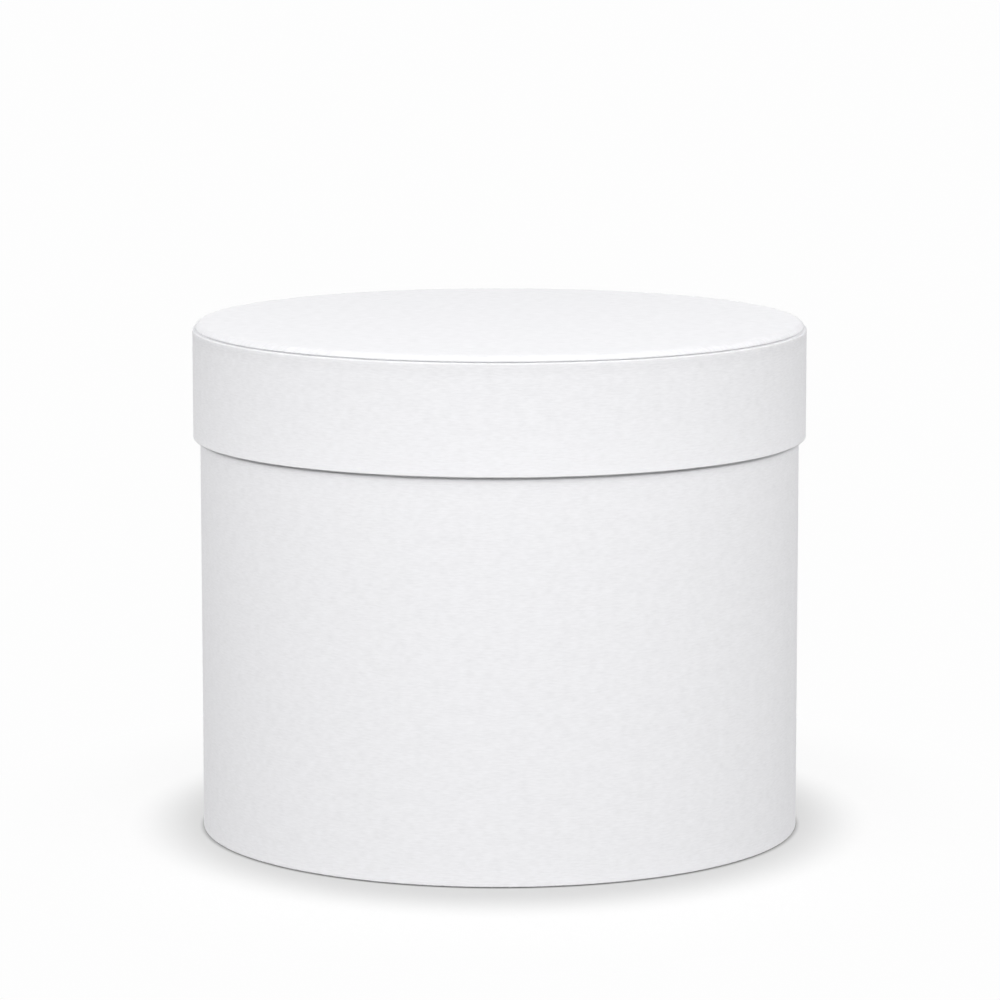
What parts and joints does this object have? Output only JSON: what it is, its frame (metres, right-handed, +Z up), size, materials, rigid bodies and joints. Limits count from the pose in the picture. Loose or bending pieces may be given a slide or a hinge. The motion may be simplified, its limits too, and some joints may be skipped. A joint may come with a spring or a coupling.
{
  "type": "round flower box",
  "caption": "Round rigid paper-covered board box with a slip-over lid that lifts straight off, for a flower arrangement or a gift.",
  "frame": {"origin": "middle of the underside, on the surface that the box stands on", "axes": "+Z up along the box's round axis and the way the lid lifts, -Y towards the front, the paper laps and board joints at the back near +Y"},
  "size_m": [0.22, 0.2201, 0.1836],
  "materials": {
    "outside_paper": "matt uncoated white paper with a fine grain",
    "inside_paper": "matt uncoated white paper",
    "grey_board": "raw grey board with fibre flecks",
    "kraft_tape": "gummed brown paper tape"
  },
  "bodies": {
    "box": {"wall_board": "grey_board", "wall_joint_tape": "kraft_tape", "base_board": "grey_board", "wall_wrap": "outside_paper", "base_paper": "inside_paper", "wall_lining": "inside_paper", "floor_paper": "inside_paper"},
    "lid": {"rim_board": "grey_board", "rim_joint_tape": "kraft_tape", "top_board": "grey_board", "rim_wrap": "outside_paper", "cap_board": "grey_board", "cap_paper": "outside_paper", "rim_lining": "inside_paper", "top_lining": "inside_paper"}
  },
  "joints": [
    {"name": "lid_lift", "type": "slide", "parent": "box", "child": "lid", "axis": [0, 0, 1], "range_m": [0, 0.09]}
  ]
}
